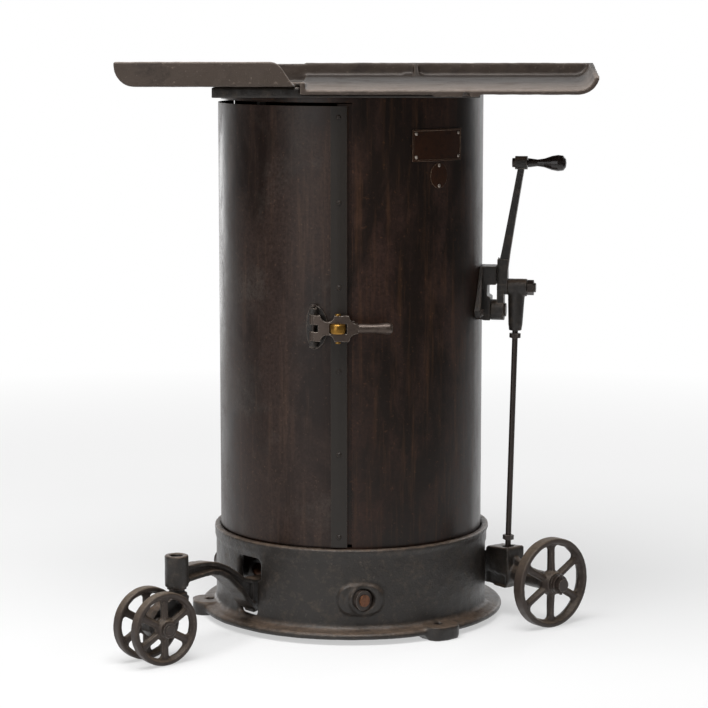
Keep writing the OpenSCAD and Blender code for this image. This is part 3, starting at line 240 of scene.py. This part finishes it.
# Forged latch that the hand keeps bright
handled_steel = aged_finish(
    "hand_polished_forged_steel", "#4b4039", "#372c26", "#b0a499", metallic=0.55, rough=0.33,
    patch_mm=12, patches=0.45, grain_mm=0.9, grain_bump=0.06, wear=0.9, wear_mm=1.4)

# Cast and turned brass: golden, with small patches of brown tarnish
brass = aged_finish(
    "turned_brass", "#9a7233", "#5c4423", "#d6b36a", metallic=0.9, rough=0.3,
    patch_mm=7, patches=0.4, grain_mm=0.8, grain_bump=0.05, wear=0.9, wear_mm=0.8)

# Rolled brass plate, brown with age, the edges of its raised border rubbed
dark_brass = aged_finish(
    "tarnished_brass_plate", "#311a0c", "#1d1008", "#b09a84", metallic=0.1, rough=0.42, specular=0.25,
    patch_mm=9, patches=0.5, grain_mm=0.8, grain_bump=0.06, wear=1.0, wear_mm=0.7)

# Small drive pins that have kept their bright heads
bright_steel = aged_finish(
    "bright_screw_steel", "#9b9187", "#6a5c50", "#d8cfc6", metallic=0.7, rough=0.35,
    patch_mm=3, patches=0.3, grain_mm=0.6, grain_bump=0.03, wear=0.9, wear_mm=0.5)

# Turned shaft end where the copper-brown oxide shows
oxide_steel = aged_finish(
    "red_oxide_shaft_steel", "#6e452c", "#33221a", "#a06c48", metallic=0.3, rough=0.5,
    patch_mm=7, patches=0.55, grain_mm=0.8, grain_bump=0.2, wear=0.7, wear_mm=1.2)

# Turned beech, ebonised and polished by the hand: a low gloss, its grain drawn out along the grip
ebonised = aged_finish(
    "ebonised_beech", "#1d1512", "#2c1d17", "#4a3a30", rough=0.22,
    patch_mm=14, patches=0.4, streak=0.3, grain_mm=1.2, grain_bump=0.02, wear=0.5, wear_mm=1.0)

FINISHES = {
    sheet_steel: "cabinet_shell floor_plate top_disc door_jamb hinge_leaves_fixed",
    door_steel: "door_skin door_bands hinge_leaves_door",
    strap_steel: "door_strap strap_rivets",
    cast_iron: "base_casting saddle_plate front_arm axle_frame lever_bracket hand_lever rod_head "
               "latch_keeper latch_plate caster_fork",
    tray_iron: "tray_table",
    tread_iron: "wheel_right wheel_left caster_wheel_outer caster_wheel_inner",
    turned_steel: "table_bolts hinge_pins pivot_nuts arm_bolts bracket_bolts lever_stud latch_pin "
                  "crank_pin crank_nut grip_spindle lift_rod rod_nuts rear_axle axle_washers "
                  "axle_cotters caster_spindle caster_axle caster_collars",
    bright_steel: "plate_pins",
    handled_steel: "latch_lever",
    brass: "latch_roller roller_pin",
    dark_brass: "name_plate oval_plate",
    oxide_steel: "pivot_shaft",
    ebonised: "lever_grip",
}
for finish, names in FINISHES.items():
    for name in names.split():
        data = nodes[name].data
        data.materials.clear()
        data.materials.append(finish)


# ---- the skin of the castings ----

# Casting: the size of the cells it is remade from, the depth of its skin and the size of its lumps, in mm
CAST_SKINS = {
    "tray_table": (2.2, 1.5, 26),
    "base_casting": (3.4, 1.6, 60),
    "saddle_plate": (2.6, 0.6, 40),
    "front_arm": (1.8, 1.2, 30),
    "axle_frame": (2.4, 1.4, 26),
    "caster_fork": (1.3, 0.6, 16),
    "wheel_right": (1.4, 0.6, 18),
    "wheel_left": (1.4, 0.6, 18),
    "caster_wheel_outer": (1.2, 0.5, 16),
    "caster_wheel_inner": (1.2, 0.5, 16),
    "lever_bracket": (1.2, 0.6, 16),
    "rod_head": (1.1, 0.4, 14),
}
ROUNDING_SHARE = 0.5
ROUNDING_PASSES = 3
LUMP_DETAIL = 3
# The level of the lumps that stays in place. Most of them lie under it, so that a casting keeps its size
SKIN_LEVEL = 0.7
# Faces that meet at more than this keep a sharp edge
SHARP_ANGLE = 32


def cast_skin(obj, cell_mm, depth_mm, lump_mm):
    """Rounds a casting's edges and gives its faces the shallow lumps of a sand mould."""
    cells = obj.modifiers.new("mould_cells", "REMESH")
    cells.mode = "VOXEL"
    cells.voxel_size = cell_mm * MM
    cells.use_smooth_shade = True
    rounds = obj.modifiers.new("mould_rounds", "SMOOTH")
    rounds.factor = ROUNDING_SHARE
    rounds.iterations = ROUNDING_PASSES
    lumps = bpy.data.textures.new(obj.name + "_lumps", "CLOUDS")
    lumps.noise_scale = lump_mm * MM
    lumps.noise_depth = LUMP_DETAIL
    skin = obj.modifiers.new("mould_skin", "DISPLACE")
    skin.texture = lumps
    skin.texture_coords = "LOCAL"
    skin.strength = depth_mm * MM
    skin.mid_level = SKIN_LEVEL


def turned_skin(obj):
    """Keeps the sharp edges of a piece that was turned, rolled or forged."""
    corners = obj.modifiers.new("smooth_by_angle", "EDGE_SPLIT")
    corners.split_angle = math.radians(SHARP_ANGLE)


def smooth_faces(obj):
    for face in obj.data.polygons:
        face.use_smooth = True


for obj in nodes.values():
    smooth_faces(obj)
    if obj.name in CAST_SKINS:
        cast_skin(obj, *CAST_SKINS[obj.name])
    else:
        turned_skin(obj)


# ---- studio ----

# The room is dark in front of this line, so that the object's front mirrors no white floor. The line bends
# back by these slopes to the left and to the right, and the dark fades out between the two fade places
DARK_FLOOR_Y = -1.1
DARK_FLOOR_LEFT = 0.9
DARK_FLOOR_RIGHT = 1.3
DARK_FLOOR_FADE = (-2.4, 0.6)
ROOM_HALF = 9.0
# From the first distance to the second, what is seen goes over from half lit paper to pure white
SHADOW_REACH = (1.2, 3.0)
SHADOW_WHITE = 0.5
PAPER_WHITE = 0.86
PAPER_DARK = 0.12
# The sweep of paper: half its width, its front edge, where it starts to bend, and how high it goes
PAPER_HALF = 14.0
PAPER_FRONT = -12.0
PAPER_BEND = 9.0
PAPER_TOP = 7.0
BEND_RADIUS = 1.6
BEND_STEPS = 10
# The light that the air of the studio gives from all sides
AIR_LIGHT = 0.15


def studio_paper():
    """White paper: seen and mirrored as white beside and behind the object, and still shadowed by it."""
    mat = bare_material("white_studio_paper")
    tree = mat.node_tree
    place = add(tree, "ShaderNodeTexCoord", pick="Object")

    # Where the floor is lit, behind the bent line
    across = add(tree, "ShaderNodeSeparateXYZ", {"Vector": place}, pick="X")
    along = add(tree, "ShaderNodeSeparateXYZ", {"Vector": place}, pick="Y")
    left = add(tree, "ShaderNodeMapRange",
               {"Value": across, "From Min": -ROOM_HALF, "From Max": 0.0,
                "To Min": ROOM_HALF * DARK_FLOOR_LEFT, "To Max": 0.0})
    right = add(tree, "ShaderNodeMapRange",
                {"Value": across, "From Min": 0.0, "From Max": ROOM_HALF,
                 "To Min": 0.0, "To Max": ROOM_HALF * DARK_FLOOR_RIGHT})
    bent = add(tree, "ShaderNodeMath", {0: left, 1: right}, operation="ADD")
    behind = add(tree, "ShaderNodeMath", {0: along, 1: bent}, operation="SUBTRACT")
    lit_floor = add(tree, "ShaderNodeMapRange",
                    {"Value": behind, "From Min": DARK_FLOOR_Y + DARK_FLOOR_FADE[0],
                     "From Max": DARK_FLOOR_Y + DARK_FLOOR_FADE[1]})
    dark_floor = add(tree, "ShaderNodeMath", {0: 1.0, 1: lit_floor}, operation="SUBTRACT")

    # How white it glows, to the camera and in what mirrors it
    direct = add(tree, "ShaderNodeLightPath", pick="Is Camera Ray")
    in_gloss = add(tree, "ShaderNodeLightPath", pick="Is Glossy Ray")
    in_glass = add(tree, "ShaderNodeLightPath", pick="Is Transmission Ray")
    mirrored = add(tree, "ShaderNodeMath", {0: in_gloss, 1: in_glass}, operation="MAXIMUM")
    reach = add(tree, "ShaderNodeVectorMath", {0: place}, pick="Value", operation="LENGTH")
    backdrop = add(tree, "ShaderNodeMapRange",
                   {"Value": reach, "From Min": SHADOW_REACH[0], "From Max": SHADOW_REACH[1],
                    "To Min": SHADOW_WHITE, "To Max": 1.0})
    seen = add(tree, "ShaderNodeMath", {0: direct, 1: backdrop}, operation="MULTIPLY")
    shone = add(tree, "ShaderNodeMath", {0: mirrored, 1: lit_floor}, operation="MULTIPLY")
    white = add(tree, "ShaderNodeMath", {0: seen, 1: shone}, operation="MAXIMUM")

    paper_tone = lay(tree, grey(PAPER_WHITE), grey(PAPER_DARK), mirrored, dark_floor)
    paper = add(tree, "ShaderNodeBsdfDiffuse", {"Color": paper_tone})
    glow = add(tree, "ShaderNodeEmission", {"Color": grey(1), "Strength": 1.0})
    both = add(tree, "ShaderNodeMixShader", {0: white, 1: paper, 2: glow})
    add(tree, "ShaderNodeOutputMaterial", {"Surface": both})
    return mat


def paper_sweep():
    """Floor and backdrop in one sheet, with a round bend between them."""
    line = [(PAPER_FRONT, 0.0), (PAPER_BEND, 0.0)]
    for step in range(1, BEND_STEPS + 1):
        turn = math.radians(90 * step / BEND_STEPS)
        line.append((PAPER_BEND + BEND_RADIUS * math.sin(turn), BEND_RADIUS * (1 - math.cos(turn))))
    line.append((PAPER_BEND + BEND_RADIUS, PAPER_TOP))
    verts = [(x, y, z) for y, z in line for x in (-PAPER_HALF, PAPER_HALF)]
    faces = [(2 * i, 2 * i + 1, 2 * i + 3, 2 * i + 2) for i in range(len(line) - 1)]
    data = bpy.data.meshes.new("paper_sweep")
    data.from_pydata(verts, [], faces)
    obj = bpy.data.objects.new("paper_sweep", data)
    scene.collection.objects.link(obj)
    smooth_faces(obj)
    data.materials.append(studio_paper())


paper_sweep()

# Softbox: where it stands, the height over the origin that it points at, its width and height, its watts
SOFTBOXES = {
    "left_softbox": ((-1.85, -2.6, 1.2), 0.5, (2.0, 2.4), 24),
    "left_rim_softbox": ((-1.95, 3.3, 0.36), 0.5, (0.8, 0.7), 7),
    "right_rim_softbox": ((2.5, 3.2, 2.0), 0.5, (0.8, 2.4), 26),
    "top_softbox": ((-0.4, -1.0, 3.6), 0.4, (3.0, 2.4), 150),
}
for name, (place, aim_z, size, power) in SOFTBOXES.items():
    data = bpy.data.lights.new(name, "AREA")
    data.shape = "RECTANGLE"
    data.size, data.size_y = size
    data.energy = power
    softbox = bpy.data.objects.new(name, data)
    scene.collection.objects.link(softbox)
    softbox.location = place
    softbox.rotation_mode = "QUATERNION"
    softbox.rotation_quaternion = (Vector((0, 0, aim_z)) - Vector(place)).to_track_quat("-Z", "Y")

# The air lights the object dimly and is seen white where the paper ends
world = bpy.data.worlds.new("studio_air")
scene.world = world
world.use_nodes = True
air = world.node_tree
air.nodes["Background"].inputs["Color"].default_value = grey(1)
direct = add(air, "ShaderNodeLightPath", pick="Is Camera Ray")
strength = add(air, "ShaderNodeMath", {0: direct, 1: AIR_LIGHT}, operation="MAXIMUM")
air.links.new(strength, air.nodes["Background"].inputs["Strength"])


# ---- camera ----

CAMERA_PLACE = (0.0, -4.1807, 1.0387)
CAMERA_DROP = 7.92
CAMERA_TURN = -0.06
CAMERA_LENS = 122.03
CAMERA_SENSOR = 36
camera_data = bpy.data.cameras.new("camera")
camera_data.lens = CAMERA_LENS
camera_data.sensor_width = CAMERA_SENSOR
camera_data.clip_end = 100
camera = bpy.data.objects.new("camera", camera_data)
scene.collection.objects.link(camera)
camera.location = CAMERA_PLACE
camera.rotation_euler = (math.radians(90 - CAMERA_DROP), 0, math.radians(CAMERA_TURN))
scene.camera = camera
scene.view_settings.view_transform = "Standard"
